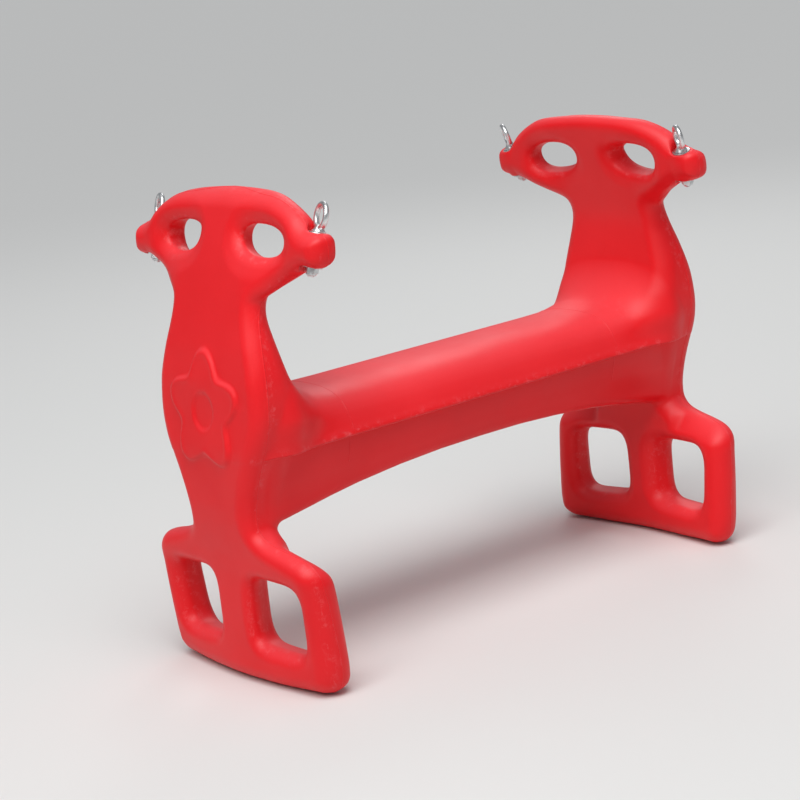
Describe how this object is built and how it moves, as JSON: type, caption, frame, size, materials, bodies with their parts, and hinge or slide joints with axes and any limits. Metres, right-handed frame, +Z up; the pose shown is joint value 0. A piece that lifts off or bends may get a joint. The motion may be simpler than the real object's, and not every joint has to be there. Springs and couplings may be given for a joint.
{
  "type": "glider swing",
  "caption": "Ride-astride glider swing: hollow moulded saddle seat between end panels with hand and foot holes, hung from swivelling eye bolts.",
  "frame": {"origin": "under the middle of the body, on the surface that the two foot frames stand on", "axes": "+Z up, +X along the seat from the left end panel to the right end panel, +Y across the seat"},
  "size_m": [0.9064, 0.445, 0.7044],
  "materials": {
    "body_plastic": "satin moulded red polyethylene",
    "zinc_steel": "bright zinc plated forged steel",
    "zinc_washer": "bright zinc plated pressed steel",
    "zinc_nut": "bright zinc plated steel",
    "nylon_insert": "natural nylon",
    "sleeve_steel": "zinc plated tube"
  },
  "bodies": {
    "root": {"body_shell": "body_plastic", "upper_washer_left_front": "zinc_washer", "lower_washer_left_front": "zinc_washer", "spacer_sleeve_left_front": "sleeve_steel", "upper_washer_left_rear": "zinc_washer", "lower_washer_left_rear": "zinc_washer", "spacer_sleeve_left_rear": "sleeve_steel", "upper_washer_right_front": "zinc_washer", "lower_washer_right_front": "zinc_washer", "spacer_sleeve_right_front": "sleeve_steel", "upper_washer_right_rear": "zinc_washer", "lower_washer_right_rear": "zinc_washer", "spacer_sleeve_right_rear": "sleeve_steel"},
    "swivel_left_front": {"eye_bolt_left_front": "zinc_steel", "lock_nut_left_front": "zinc_nut", "nut_insert_left_front": "nylon_insert"},
    "swivel_left_rear": {"eye_bolt_left_rear": "zinc_steel", "lock_nut_left_rear": "zinc_nut", "nut_insert_left_rear": "nylon_insert"},
    "swivel_right_front": {"eye_bolt_right_front": "zinc_steel", "lock_nut_right_front": "zinc_nut", "nut_insert_right_front": "nylon_insert"},
    "swivel_right_rear": {"eye_bolt_right_rear": "zinc_steel", "lock_nut_right_rear": "zinc_nut", "nut_insert_right_rear": "nylon_insert"}
  },
  "joints": [
    {"name": "eye_swivel_left_front", "type": "hinge", "parent": "root", "child": "swivel_left_front", "pos_m": [-0.3539, -0.1937, 0.647], "axis": [0.2788, -0.109, 0.9541], "continuous": true},
    {"name": "eye_swivel_left_rear", "type": "hinge", "parent": "root", "child": "swivel_left_rear", "pos_m": [-0.3539, 0.1937, 0.647], "axis": [0.2788, 0.109, 0.9541], "continuous": true},
    {"name": "eye_swivel_right_front", "type": "hinge", "parent": "root", "child": "swivel_right_front", "pos_m": [0.3539, -0.1937, 0.647], "axis": [-0.2788, -0.109, 0.9541], "continuous": true},
    {"name": "eye_swivel_right_rear", "type": "hinge", "parent": "root", "child": "swivel_right_rear", "pos_m": [0.3539, 0.1937, 0.647], "axis": [-0.2788, 0.109, 0.9541], "continuous": true}
  ]
}
